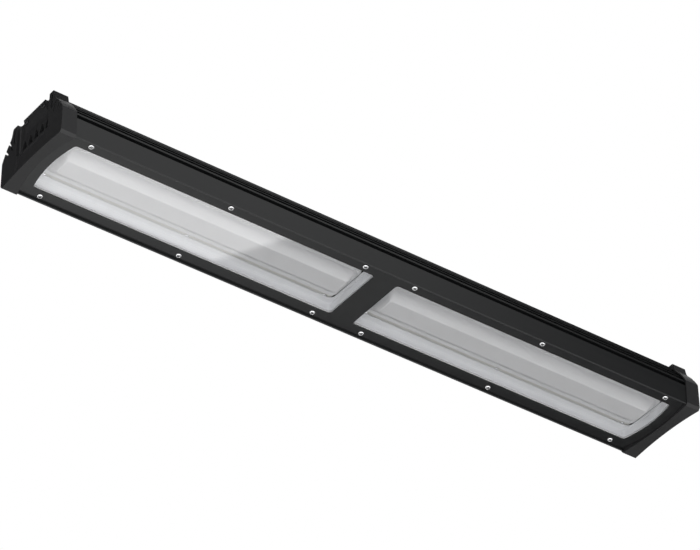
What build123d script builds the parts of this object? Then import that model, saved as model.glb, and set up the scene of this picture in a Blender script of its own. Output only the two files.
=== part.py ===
from build123d import *
import math
import os

# Linear high-bay light fixture, light face down. Millimetres, +Z up, +X along the length, Z = 0 at the lowest
# corners of the end caps, origin under the middle of the body.

# Overall sizes
LENGTH = 778.0
BODY_WIDTH = 104.5
BODY_TOP = 62.8
CAP_SIDE_WALL = 1.4
FIT = 0.1
BODY_HALF = BODY_WIDTH / 2
CAP_HALF = BODY_HALF + FIT + CAP_SIDE_WALL
END_X = LENGTH / 2

# End cap lengths, measured inwards from the end face
CAP_WRAP = 16.8
CAP_RECESS = 4.8
CAP_WALL = 3.2
CAP_GASKET = 1.0
CAP_DRAFT = 0.9
WRAP_X = END_X - CAP_WRAP
WALL_OUT_X = END_X - CAP_RECESS
WALL_IN_X = WALL_OUT_X - CAP_WALL
BODY_END_X = WALL_IN_X - CAP_GASKET

# Levels of the light face, upwards
LIP_Z = 2.0
PLATE_Z = 4.8
PLATE_T = 1.2
SEAL_LIP = 0.4
GLASS_T = 3.0
SEAL_TOP_LIP = 0.6
TRAY_T = 0.8
TRAY_FLOOR_Z = 18.9
BOARD_Z = 21.2
BOARD_T = 1.5
PAD_T = 0.3
WEB_T = 3.0
GLASS_Z = PLATE_Z + PLATE_T + SEAL_LIP
TRAY_Z = GLASS_Z + GLASS_T + SEAL_TOP_LIP
LEDGE_Z = TRAY_Z + TRAY_T
PAD_Z = BOARD_Z + BOARD_T
WEB_Z = PAD_Z + PAD_T
WEB_TOP = WEB_Z + WEB_T

# Body section
SKIRT_T = 1.6
BOSS_DEPTH = 9.55
BOSS_INNER = BODY_HALF - BOSS_DEPTH
BOSS_TOP = 13.0
LEDGE_DEPTH = 13.65
LEDGE_INNER = BODY_HALF - LEDGE_DEPTH
SLOT_LOW = 25.2
SLOT_HIGH = 29.5
SLOT_LIP = 1.6
SLOT_DEPTH = 5.6
SLOT_FLOOR_DROP = 1.7
SLOT_HEAD_ROOM = 0.7
SLOT_ROOF = 1.2
SLOT_WALL = 1.4
FIN_LOW_Z = 39.3
FIN_PITCH = 8.4
FIN_ROOT_T = 1.8
FIN_TIP_T = 0.7
FIN_LOW_REACH = 17.35
FIN_MID_REACH = 11.35
FIN_HIGH_REACH = 4.35
SLOT_BACK = BODY_HALF - SLOT_DEPTH
TUNNEL_HALF = SLOT_BACK - FIN_LOW_REACH
TUNNEL_WALL = 2.0
TOP_GROOVE = 0.6
TOP_GROOVE_PITCH = 7.0
PORT_Y = 15.0
PORT_Z = 58.8
PORT_D = 3.4
PORT_WALL = 2.4

# Windows in the frame plate
BAR_WIDTH = 27.3
RAIL_WIDTH = 14.65
END_RAIL = 12.7
WINDOW_HALF = BODY_HALF - RAIL_WIDTH
WINDOW_END_X = BODY_END_X - END_RAIL
WINDOW_ARC_R = 150.0
WINDOW_CORNER_R = 3.5
GLASS_GRIP = 4.3
SEAL_WRAP = 0.7
SEAL_GRIP = 2.3

# Frame screws, M3 pan head
SCREW_FIRST = 30.0
SCREW_END = 30.0
SCREW_EDGE = 7.05
SCREW_PITCH = (BODY_END_X - SCREW_END - SCREW_FIRST) / 2
SCREW_ROW_Y = BODY_HALF - SCREW_EDGE
SCREW_D = 3.0
SCREW_HEAD_D = 5.9
SCREW_HEAD_H = 1.6
SCREW_LEN = 5.5
SCREW_TURN = 17.0

# Diffuser and light boards
TRAY_STRIP = 7.6
TRAY_OPEN_HALF = WINDOW_HALF - TRAY_STRIP
DIFF_GAP = 4.3
DIFF_SLOPE = 11.25
DIFF_BASE_MARGIN = 6.4
DIFF_TOP_MARGIN = 13.0
DIFF_TOP_Z = 10.5
DIFF_WALL = 1.4
DIFF_FLANGE = 4.2
DIFF_BASE_HALF = TRAY_OPEN_HALF - DIFF_GAP - DIFF_FLANGE
DIFF_TOP_HALF = DIFF_BASE_HALF - DIFF_SLOPE
DIFF_END_FLANGE = 2.0
DIFF_BASE_R = 6.0
DIFF_TOP_ROUND = 0.3
DIFF_TOP_R = DIFF_TOP_HALF * DIFF_TOP_ROUND
TRAY_OPEN_GAP = 1.0
BOARD_SIDE_GAP = 4.6
BOARD_HALF = LEDGE_INNER - BOARD_SIDE_GAP
BOARD_MARGIN = 4.0
LED_SIZE = 3.0
LED_T = 0.7
LED_ROWS = (-8.0, 8.0)
LED_PITCH = 15.0
BOARD_SCREW_EDGE = 2.2
BOARD_SCREW_END = 8.0
BOARD_SCREW_Y = BOARD_HALF - BOARD_SCREW_EDGE
BOARD_SCREW_HEAD_H = 1.2

# Driver and wiring
DRIVER_LENGTH = 300.0
DRIVER_SIDE_GAP = 2.3
DRIVER_WIDTH = 2 * (TUNNEL_HALF - TUNNEL_WALL - DRIVER_SIDE_GAP)
DRIVER_HEIGHT = 24.4
DRIVER_WALL = 1.2
DRIVER_FOOT = 6.0
DRIVER_FOOT_H = 3.0
DRIVER_SCREW_EDGE = 5.0
DRIVER_SCREW_D = 2.4
DRIVER_SCREW_L = 6.5
DRIVER_BOARD_T = 1.6
DRIVER_BOARD_END = 12.0
CORE_L = 44.0
CORE_W = 32.0
CORE_YOKE = 3.5
COIL_BULGE = 1.0
CHOKE_D = 26.0
CHOKE_EYE = 12.0
CHOKE_H = 10.0
CAN_D = 16.0
CAN_PITCH = 22.0
DEVICE_W = 6.0
DEVICE_PITCH = 9.0
DEVICE_T = 4.0
LEAD_D = 2.0
LEAD_RUN = 50.0
LEAD_X = DRIVER_LENGTH / 2 + LEAD_RUN
LEAD_GAP = 3.2
LEAD_HOLE_D = 9.0
LEAD_Z = 40.0
TERMINAL_END = 80.0
TERMINAL_X = BODY_END_X - TERMINAL_END
TERMINAL_L = 22.0
TERMINAL_W = 30.0
TERMINAL_H = 16.0
TERMINAL_WAY_Z = 6.5

# Cable gland in the right cap
GLAND_Z = 43.0
GLAND_D = 16.0
GLAND_HEX = 20.0
GLAND_FLANGE_T = 1.8
GLAND_NUT_T = 3.0
GLAND_TAIL = 2.0
GLAND_DOME_D = 19.0
GLAND_DOME_L = 2.8
GLAND_DOME_ROOF = 1.4
GLAND_SEAL_D = 12.4
GLAND_SEAL_L = 4.0
GLAND_BORE = 9.0

# End cap face
CAP_ARCH_RISE = 3.2
CAP_CHAMFER_Y = 2.4
CAP_CHAMFER_Z = 3.0
SHOULDER_Z = 31.0
SHOULDER_BULGE = 1.0
EAR_FOOT = 10.3
EAR_FOOT_Y = TUNNEL_HALF + EAR_FOOT
EAR_FOOT_Z = 51.4
EAR_CROWN = 6.7
EAR_TOP_Y = TUNNEL_HALF + EAR_CROWN
EAR_TOP_Z = 63.1
EAR_TOP_R = 2.0
EAR_INNER = TUNNEL_HALF + FIT
FLANGE_REACH = 11.0
FLANGE_MID_X = END_X - FLANGE_REACH
FLANGE_ARC_R = 214.0
RECESS_FLOOR_Z = 22.4
VENT_PITCH = 10.2
VENT_HALF = 3.5
VENT_BASE_Z = 26.0
VENT_SPRING_Z = 32.5
VENT_TOP_Z = 41.0
VENT_COUNT = 5
FIN_FIT = 0.35
RECESS_SIDE = 1.0
RECESS_HALF = TUNNEL_HALF - RECESS_SIDE
RECESS_R = 1.5
GILL_DEPTH = 3.5
GILL_UPRIGHT = ((33.2, 43.5), (33.2, 58.5))
GILL_MIDDLE = ((36.0, 36.8), (43.1, 51.1))
GILL_LOW = ((43.4, 35.4), (49.2, 43.2))
GILL_WIDTH = 2.2
HOOD_HALF = 19.2
HOOD_DEPTH = 3.0
HOOD_FOOT_Z = 47.0
PANEL_TOP_Z = 19.6
PANEL_LOW_Z = 6.0
PANEL_TOP_HALF = 23.5
PANEL_LOW_HALF = 29.0
PANEL_DEPTH = 0.9
CAP_SCREW_D = 4.0
CAP_SCREW_HEAD_D = 6.0
CAP_SCREW_HEAD_H = 1.9
CAP_SCREW_LEN = 9.0

PARTS = {}


def yz(y0, y1, z0, z1):
    """Rectangle in the section plane, between two widths and two heights."""
    return Pos((y0 + y1) / 2, (z0 + z1) / 2) * Rectangle(y1 - y0, z1 - z0)


def along_x(section, x0, x1):
    """Run a section drawn in (Y, Z) from one X to another."""
    return Pos(x0, 0, 0) * extrude(Plane.YZ * section, amount=x1 - x0)


def box(x0, x1, y0, y1, z0, z1):
    """Box between pairs of planes."""
    return Pos((x0 + x1) / 2, (y0 + y1) / 2, (z0 + z1) / 2) * Box(x1 - x0, y1 - y0, z1 - z0)


def rod_z(x, y, z0, z1, diameter):
    """Upright round bar."""
    return Pos(x, y, (z0 + z1) / 2) * Cylinder(diameter / 2, z1 - z0)


def rod_x(x0, x1, y, z, diameter):
    """Round bar along the length."""
    return Pos((x0 + x1) / 2, y, z) * Rot(0, 90, 0) * Cylinder(diameter / 2, x1 - x0)


def both_sides(section):
    """A section and its mirror image across the middle plane."""
    return section + mirror(section, Plane.YZ)


def to_side(shape, side):
    """Right-hand shape for side 1, its mirror image for side -1."""
    return shape if side > 0 else mirror(shape, Plane.YZ)


def rounded(x0, x1, half, radius):
    """Rounded rectangle seen from above, between two X and of a given half width."""
    return Pos((x0 + x1) / 2, 0) * RectangleRounded(x1 - x0, 2 * half, radius)


def slab(face, z0, z1):
    """A flat outline given a thickness between two heights."""
    return Pos(0, 0, z0) * extrude(face, amount=z1 - z0)


def window_outline(grow):
    """Right-hand window: straight inner end, arched outer end, rounded corners, grown by a distance."""
    half = WINDOW_HALF + grow
    radius = WINDOW_ARC_R + grow
    centre = WINDOW_END_X - WINDOW_ARC_R
    corner_x = centre + math.sqrt(radius ** 2 - half ** 2)
    inner_x = BAR_WIDTH / 2 - grow
    edges = [
        Line((inner_x, -half), (corner_x, -half)),
        ThreePointArc((corner_x, -half), (centre + radius, 0), (corner_x, half)),
        Line((corner_x, half), (inner_x, half)),
        Line((inner_x, half), (inner_x, -half)),
    ]
    face = make_face(edges)
    return fillet(face.vertices(), WINDOW_CORNER_R + max(grow, 0))


def fin_places():
    """Tip and height of the three level fins on one side of the tunnel, from the lowest and longest up."""
    reaches = (FIN_LOW_REACH, FIN_MID_REACH, FIN_HIGH_REACH)
    return [(TUNNEL_HALF + reach, FIN_LOW_Z + FIN_PITCH * k) for k, reach in enumerate(reaches)]


def side_fin(tip, z):
    """Tapered level fin, as a section, from the tunnel's wall out to its tip."""
    root, end = FIN_ROOT_T / 2, FIN_TIP_T / 2
    start = TUNNEL_HALF - TUNNEL_WALL / 2
    corners = [(start, z - root), (tip, z - end), (tip, z + end), (start, z + root)]
    return make_face(Polyline(*corners, close=True))


def body_section():
    """Half section of the extruded body, later mirrored."""
    floor_z = SLOT_LOW - SLOT_FLOOR_DROP
    roof_z = SLOT_HIGH + SLOT_HEAD_ROOM
    half = yz(BODY_HALF - SKIRT_T, BODY_HALF, LIP_Z, SLOT_LOW)
    half += yz(BOSS_INNER, BODY_HALF, PLATE_Z + PLATE_T, BOSS_TOP)
    half += yz(LEDGE_INNER, BODY_HALF, LEDGE_Z, BOSS_TOP)
    half += yz(SLOT_BACK - SLOT_WALL, BODY_HALF, floor_z - SLOT_ROOF, floor_z)
    half += yz(BODY_HALF - SLOT_LIP, BODY_HALF, SLOT_HIGH, roof_z + SLOT_ROOF)
    half += yz(SLOT_BACK - SLOT_WALL, BODY_HALF, roof_z, roof_z + SLOT_ROOF)
    half += yz(SLOT_BACK - SLOT_WALL, SLOT_BACK, WEB_Z, roof_z + SLOT_ROOF)
    half += yz(0, SLOT_BACK, WEB_Z, WEB_TOP)
    for tip, z in fin_places():
        half += side_fin(tip, z)
    half += yz(TUNNEL_HALF - TUNNEL_WALL, TUNNEL_HALF, WEB_Z, BODY_TOP)
    half += yz(0, TUNNEL_HALF, BODY_TOP - TUNNEL_WALL, BODY_TOP)
    half += port_boss()
    half -= Pos(PORT_Y, PORT_Z) * Circle(PORT_D / 2)
    for number in (1, 2, 3):
        half -= Pos(TOP_GROOVE_PITCH * number, BODY_TOP) * Rectangle(2 * TOP_GROOVE, 2 * TOP_GROOVE)
    return half


def port_boss():
    """Wall round one screw port under the tunnel's roof, as a section."""
    reach = PORT_D / 2 + PORT_WALL
    return yz(PORT_Y - reach, PORT_Y + reach, PORT_Z - reach, BODY_TOP)


def make_heat_sink():
    """Extruded body with its skirts, T-slots, fins and driver tunnel, drilled for screws and leads."""
    body = along_x(both_sides(body_section()), -BODY_END_X, BODY_END_X)
    lips = body.edges().filter_by(Axis.X).group_by(Axis.Z)[0]
    body = fillet(lips, SKIRT_T * 0.45)
    for x, y in frame_screw_places():
        body -= rod_z(x, y, PLATE_Z, PLATE_Z + PLATE_T + SCREW_LEN, SCREW_D)
    for x, y in board_screw_places():
        body -= rod_z(x, y, WEB_Z, WEB_TOP - 0.5, SCREW_D)
    for side in (-1, 1):
        body -= rod_z(side * LEAD_X, 0, WEB_Z - 1, WEB_TOP + 1, LEAD_HOLE_D)
    return body


def frame_screw_places():
    """The twelve frame screws, in pairs across the plate."""
    rows = [SCREW_FIRST + SCREW_PITCH * step for step in range(3)]
    return [(side * x, y) for side in (-1, 1) for x in rows for y in (-SCREW_ROW_Y, SCREW_ROW_Y)]


def board_screw_places():
    """Six screws on each light board."""
    first, last = board_ends()
    rows = [first + BOARD_SCREW_END, (first + last) / 2, last - BOARD_SCREW_END]
    return [(side * x, y) for side in (-1, 1) for x in rows for y in (-BOARD_SCREW_Y, BOARD_SCREW_Y)]


def board_ends():
    """Ends of the right-hand light board."""
    return BAR_WIDTH / 2 + BOARD_MARGIN, WINDOW_END_X - BOARD_MARGIN


def make_window_frame():
    """Flat frame plate between the skirts, with two windows and its screw holes."""
    inside = BODY_HALF - SKIRT_T - FIT
    reach = BODY_END_X - FIT
    plate = box(-reach, reach, -inside, inside, PLATE_Z, PLATE_Z + PLATE_T)
    opening = slab(window_outline(0), PLATE_Z - 1, PLATE_Z + PLATE_T + 1)
    plate -= opening
    plate -= mirror(opening, Plane.YZ)
    for x, y in frame_screw_places():
        plate -= rod_z(x, y, PLATE_Z - 1, PLATE_Z + PLATE_T + 1, SCREW_D + 0.4)
    return plate


def pan_screw(head_d, head_h, shank_d, length):
    """Pan-head screw, head down at Z = 0, shank upwards, with a bevelled head and a cross recess."""
    half = head_d / 2
    face = half * 0.72
    shank = shank_d / 2
    head = [(0, -head_h), (face, -head_h), (half, -head_h * 0.5), (half, 0)]
    outline = Polyline(*head, (shank, 0), (shank, length), (0, length), close=True)
    screw = revolve(Plane.XZ * make_face(outline), Axis.Z)
    depth = head_h * 0.6
    slot = Box(head_d * 0.55, head_d * 0.14, depth) + Box(head_d * 0.14, head_d * 0.55, depth)
    return screw - Pos(0, 0, -head_h + depth / 2) * slot


def make_frame_screws():
    """All frame screws as one group of separate solids."""
    screw = pan_screw(SCREW_HEAD_D, SCREW_HEAD_H, SCREW_D - 2 * FIT, SCREW_LEN)
    places = enumerate(frame_screw_places())
    return Compound([Pos(x, y, PLATE_Z) * Rot(0, 0, SCREW_TURN * k) * screw for k, (x, y) in places])


def make_glass():
    """Clear cover glass behind one window."""
    return slab(window_outline(GLASS_GRIP), GLASS_Z, GLASS_Z + GLASS_T)


def make_seal():
    """U-section silicone seal round the glass edge."""
    low = PLATE_Z + PLATE_T
    ring = slab(window_outline(GLASS_GRIP + SEAL_WRAP), low, TRAY_Z)
    ring -= slab(window_outline(GLASS_GRIP - SEAL_GRIP), low - 1, TRAY_Z + 1)
    return ring - make_glass()


def make_tray():
    """White reflector tray: flange on the seal, walls round the window and a floor with a long opening."""
    tray = slab(window_outline(GLASS_GRIP), TRAY_Z, LEDGE_Z)
    tray += slab(window_outline(TRAY_T), TRAY_Z, TRAY_FLOOR_Z + TRAY_T)
    tray -= slab(window_outline(0), TRAY_Z - 1, TRAY_FLOOR_Z)
    first = BAR_WIDTH / 2 + DIFF_BASE_MARGIN - DIFF_END_FLANGE - TRAY_OPEN_GAP
    last = WINDOW_END_X - DIFF_BASE_MARGIN + DIFF_END_FLANGE + TRAY_OPEN_GAP
    opening = slab(rounded(first, last, TRAY_OPEN_HALF, DIFF_BASE_R), TRAY_FLOOR_Z - 1, TRAY_FLOOR_Z + 2)
    return tray - opening


def diffuser_shape(shrink, top_z, low_z):
    """Tapered pillow between the diffuser's base and its raised flat."""
    base = rounded(BAR_WIDTH / 2 + DIFF_BASE_MARGIN + shrink, WINDOW_END_X - DIFF_BASE_MARGIN - shrink,
                   DIFF_BASE_HALF - shrink, DIFF_BASE_R - shrink)
    flat = rounded(BAR_WIDTH / 2 + DIFF_TOP_MARGIN + shrink, WINDOW_END_X - DIFF_TOP_MARGIN - shrink,
                   DIFF_TOP_HALF - shrink, DIFF_TOP_R - shrink)
    return loft([Pos(0, 0, low_z) * flat, Pos(0, 0, top_z) * base])


def make_diffuser():
    """Opal diffuser: a raised pillow on a flange that rests on the light board."""
    pillow = diffuser_shape(0, TRAY_FLOOR_Z, DIFF_TOP_Z)
    hollow = diffuser_shape(DIFF_WALL, TRAY_FLOOR_Z, DIFF_TOP_Z + DIFF_WALL)
    first = BAR_WIDTH / 2 + DIFF_BASE_MARGIN
    last = WINDOW_END_X - DIFF_BASE_MARGIN
    half = DIFF_BASE_HALF
    outer = rounded(first - DIFF_END_FLANGE, last + DIFF_END_FLANGE, half + DIFF_FLANGE, DIFF_BASE_R)
    inner = rounded(first + DIFF_WALL, last - DIFF_WALL, half - DIFF_WALL, DIFF_BASE_R - DIFF_WALL)
    return pillow - hollow + slab(outer - inner, TRAY_FLOOR_Z, BOARD_Z)


def make_board():
    """Light board, drilled for its screws and for the leads."""
    first, last = board_ends()
    board = slab(rounded(first, last, BOARD_HALF, 3.0), BOARD_Z, PAD_Z)
    for x, y in board_screw_places():
        if x > 0:
            board -= rod_z(x, y, BOARD_Z - 1, PAD_Z + 1, SCREW_D + 0.4)
    return board


def make_pad():
    """Thermal pad between the board and the body's web."""
    first, last = board_ends()
    pad = slab(rounded(first + 2, last - 2, BOARD_SCREW_Y - 3, 3.0), PAD_Z, WEB_Z)
    return pad - rod_z(LEAD_X, 0, PAD_Z - 1, WEB_Z + 1, LEAD_HOLE_D)


def make_leds():
    """Light-emitting packages in rows along the board."""
    first = BAR_WIDTH / 2 + DIFF_TOP_MARGIN
    last = WINDOW_END_X - DIFF_TOP_MARGIN
    count = int((last - first) // LED_PITCH) + 1
    start = (first + last) / 2 - LED_PITCH * (count - 1) / 2
    chip = Box(LED_SIZE, LED_SIZE, LED_T)
    middle = BOARD_Z - LED_T / 2
    return Compound([Pos(start + LED_PITCH * k, y, middle) * chip for k in range(count) for y in LED_ROWS])


def make_board_screws():
    """Screws that hold both light boards to the web."""
    screw = pan_screw(SCREW_HEAD_D, BOARD_SCREW_HEAD_H, SCREW_D - 2 * FIT, PAD_T + BOARD_T + WEB_T - 0.6)
    return Compound([Pos(x, y, BOARD_Z) * screw for x, y in board_screw_places()])


def cap_outline():
    """Outline of the end cap's face: arched foot, chamfered edges, bulging shoulders and two ears."""
    foot = CAP_HALF - CAP_CHAMFER_Y
    lean = (EAR_FOOT_Y - EAR_TOP_Y) * 0.45
    shoulder = (Vector(CAP_HALF, SHOULDER_Z) + Vector(EAR_FOOT_Y, EAR_FOOT_Z)) / 2
    across = Vector(EAR_FOOT_Z - SHOULDER_Z, CAP_HALF - EAR_FOOT_Y).normalized()
    bulge = shoulder + across * SHOULDER_BULGE
    edges = [ThreePointArc((-foot, 0), (0, CAP_ARCH_RISE), (foot, 0))]
    for s in (1, -1):
        edges += [
            Line((s * foot, 0), (s * CAP_HALF, CAP_CHAMFER_Z)),
            Line((s * CAP_HALF, CAP_CHAMFER_Z), (s * CAP_HALF, SHOULDER_Z)),
            ThreePointArc((s * CAP_HALF, SHOULDER_Z), (s * bulge.X, bulge.Y), (s * EAR_FOOT_Y, EAR_FOOT_Z)),
            Line((s * EAR_FOOT_Y, EAR_FOOT_Z), (s * (EAR_FOOT_Y - lean), EAR_FOOT_Z + 3)),
            Line((s * (EAR_FOOT_Y - lean), EAR_FOOT_Z + 3), (s * EAR_TOP_Y, EAR_TOP_Z)),
        ]
    edges.append(Line((EAR_TOP_Y, EAR_TOP_Z), (-EAR_TOP_Y, EAR_TOP_Z)))
    face = make_face(edges)
    tops = [v for v in face.vertices() if v.Y > EAR_TOP_Z - 0.01]
    return fillet(tops, EAR_TOP_R)


def socket_section():
    """Room inside the cap for the body's end: skirts, plate, fins and tunnel."""
    inside = BODY_HALF - SKIRT_T - FIT
    roof = SLOT_HIGH + SLOT_HEAD_ROOM + SLOT_ROOF
    half = yz(0, inside, PLATE_Z, roof)
    half += yz(inside - 0.01, BODY_HALF + FIT, LIP_Z, roof + 0.2)
    corners = [(tip + FIN_FIT, z + FIN_TIP_T / 2 + FIN_FIT) for tip, z in fin_places()]
    points = [(EAR_INNER - 0.01, roof), (BODY_HALF + FIT, roof)] + corners
    points.append((EAR_INNER - 0.01, corners[-1][1] + FIN_ROOT_T / 2))
    half += make_face(Polyline(*points, close=True))
    half += yz(0, EAR_INNER, roof - 0.01, EAR_TOP_Z + 1)
    return half


def arch_vent(y):
    """Pointed arch, as a section, centred on one width."""
    low_l, low_r = (y - VENT_HALF, VENT_BASE_Z), (y + VENT_HALF, VENT_BASE_Z)
    side_l, side_r = (y - VENT_HALF, VENT_SPRING_Z), (y + VENT_HALF, VENT_SPRING_Z)
    tip = (y, VENT_TOP_Z)
    mid_z = (VENT_SPRING_Z + VENT_TOP_Z) / 2 + 0.6
    reach = VENT_HALF * 0.62
    edges = [
        Line(low_l, low_r),
        Line(low_r, side_r),
        ThreePointArc(side_r, (y + reach, mid_z), tip),
        ThreePointArc(tip, (y - reach, mid_z), side_l),
        Line(side_l, low_l),
    ]
    return make_face(edges)


def gill(first, last, width):
    """Straight slot in section between two points."""
    (y0, z0), (y1, z1) = first, last
    run, rise = y1 - y0, z1 - z0
    angle = math.degrees(math.atan2(rise, run))
    slot = SlotOverall(math.hypot(run, rise) + width, width)
    return Pos((y0 + y1) / 2, (z0 + z1) / 2) * Rot(0, 0, angle) * slot


def shoulder_gills():
    """Three slots in the cap's shoulder and ear on one side, as sections: one upright and two that slant."""
    return gill(*GILL_UPRIGHT, GILL_WIDTH) + gill(*GILL_MIDDLE, GILL_WIDTH) + gill(*GILL_LOW, GILL_WIDTH)


def screw_seat_x():
    """Where the cap screws bear: a spot face cut into the leaning hood below the screw's head."""
    lean = (PORT_Z - CAP_SCREW_HEAD_D / 2 - HOOD_FOOT_Z) / (EAR_TOP_Z - HOOD_FOOT_Z)
    return WALL_OUT_X + HOOD_DEPTH * lean


def cap_panel():
    """Bare sunk panel on the cap's face, wider at its foot."""
    top, low = (PANEL_TOP_HALF, PANEL_TOP_Z), (PANEL_LOW_HALF, PANEL_LOW_Z)
    return make_face(Polyline((-top[0], top[1]), top, low, (-low[0], low[1]), close=True))


def make_end_cap(with_gland):
    """Right-hand end cap, one moulding. The cable gland takes the place of the middle vents."""
    inside, outside = WALL_IN_X - 1, END_X + 1
    cap = along_x(cap_outline(), WRAP_X, END_X)
    flange_x = FLANGE_MID_X - FLANGE_ARC_R
    apron = along_x(yz(-BODY_HALF + SKIRT_T, BODY_HALF - SKIRT_T, -1, PLATE_Z), WRAP_X - 1, END_X - 0.5)
    cap -= apron & (Pos(flange_x, 0, PLATE_Z / 2) * Cylinder(FLANGE_ARC_R, 2 * PLATE_Z))
    cap -= along_x(both_sides(socket_section()), WRAP_X - 1, WALL_IN_X)
    recess = box(WALL_OUT_X, outside, -RECESS_HALF, RECESS_HALF, RECESS_FLOOR_Z, EAR_TOP_Z + 5)
    recess = fillet(recess.edges().filter_by(Axis.Z).group_by(Axis.X)[0], RECESS_R)
    cap -= recess
    cap -= box(WRAP_X - 1, WALL_OUT_X, -EAR_INNER, EAR_INNER, BODY_TOP, EAR_TOP_Z + 5)
    cap += make_hood()
    clear = GLAND_HEX * 0.58 + VENT_HALF if with_gland else -1
    places = [VENT_PITCH * (k - (VENT_COUNT - 1) / 2) for k in range(VENT_COUNT)]
    for y in places:
        if abs(y) > clear:
            cap -= along_x(arch_vent(y), inside, WALL_OUT_X + 3)
    if with_gland:
        cap -= rod_x(inside, outside, 0, GLAND_Z, GLAND_D + 2 * FIT)
        cap -= rod_x(WALL_OUT_X, outside, 0, GLAND_Z, GLAND_HEX * 1.16 + 1.0)
    cap -= along_x(both_sides(shoulder_gills()), END_X - GILL_DEPTH, outside)
    for side in (-1, 1):
        cap -= rod_x(inside, outside, side * PORT_Y, PORT_Z, CAP_SCREW_D + 0.5)
        cap -= rod_x(screw_seat_x(), outside, side * PORT_Y, PORT_Z, CAP_SCREW_HEAD_D + 0.8)
    cap -= along_x(cap_panel(), END_X - PANEL_DEPTH, outside)
    draft = math.degrees(math.atan2(CAP_DRAFT, EAR_TOP_Z))
    cap -= Pos(END_X, 0, 0) * Rot(0, -draft, 0) * Pos(10, 0, 50) * Box(20, 200, 200)
    return cap


def make_hood():
    """Leaning pad at the top of the cap's recess, which carries the cap screws."""
    back = WALL_OUT_X - 0.5
    crest = WALL_OUT_X + HOOD_DEPTH
    corners = [(back, HOOD_FOOT_Z), (WALL_OUT_X, HOOD_FOOT_Z), (crest, EAR_TOP_Z), (back, EAR_TOP_Z)]
    side = Polyline(*corners, close=True)
    return extrude(Plane.XZ * make_face(side), amount=HOOD_HALF, both=True)


def make_cap_gasket():
    """Foam gasket between the body's end and the cap, round the tunnel and the light chamber."""
    low = yz(-BODY_HALF, BODY_HALF, PLATE_Z + PLATE_T + 0.1, WEB_TOP)
    low -= yz(-BODY_HALF + SKIRT_T, BODY_HALF - SKIRT_T, PLATE_Z + PLATE_T + 3, WEB_Z)
    room = TUNNEL_HALF - TUNNEL_WALL
    ring = yz(-TUNNEL_HALF, TUNNEL_HALF, WEB_Z, BODY_TOP) - yz(-room, room, WEB_TOP, BODY_TOP - TUNNEL_WALL)
    section = low + ring + both_sides(port_boss())
    for s in (-1, 1):
        section -= Pos(s * PORT_Y, PORT_Z) * Circle(CAP_SCREW_D / 2 + 0.2)
    return along_x(section, BODY_END_X, WALL_IN_X)


def make_cap_screws():
    """Two pan-head screws that hold the right-hand cap."""
    seat = screw_seat_x()
    screw = pan_screw(CAP_SCREW_HEAD_D, CAP_SCREW_HEAD_H, PORT_D - 2 * FIT, seat - WALL_IN_X + CAP_SCREW_LEN)
    return Compound([Pos(seat, y, PORT_Z) * Rot(0, -90, 0) * screw for y in (-PORT_Y, PORT_Y)])


def hexagon_x(x0, x1, z, across):
    """Hexagonal prism along the length."""
    outline = RegularPolygon(across / 2, 6, major_radius=False)
    return Pos(x0, 0, z) * extrude(Plane.YZ * outline, amount=x1 - x0)


def gland_parts():
    """Cable gland through the right cap's wall: body, lock nut, seal and dome nut."""
    flange_end = WALL_OUT_X + GLAND_FLANGE_T
    dome_end = flange_end + GLAND_DOME_L
    stub_end = dome_end - GLAND_DOME_ROOF
    inner_end = WALL_IN_X - GLAND_NUT_T - GLAND_TAIL
    bore = rod_x(inner_end - 1, dome_end + 1, 0, GLAND_Z, GLAND_BORE)
    body = rod_x(inner_end, stub_end, 0, GLAND_Z, GLAND_D)
    body += hexagon_x(WALL_OUT_X, flange_end, GLAND_Z, GLAND_HEX)
    seal = rod_x(stub_end - GLAND_SEAL_L, stub_end, 0, GLAND_Z, GLAND_SEAL_D)
    body = body - bore - seal
    nut = hexagon_x(WALL_IN_X - GLAND_NUT_T, WALL_IN_X, GLAND_Z, GLAND_HEX)
    nut -= rod_x(inner_end, WALL_OUT_X, 0, GLAND_Z, GLAND_D)
    dome = rod_x(flange_end, dome_end, 0, GLAND_Z, GLAND_DOME_D)
    dome = chamfer(dome.edges().group_by(Axis.X)[-1], GLAND_DOME_ROOF * 0.7)
    dome -= rod_x(flange_end - 1, stub_end, 0, GLAND_Z, GLAND_D)
    return body, nut, seal - bore, dome - bore


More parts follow.
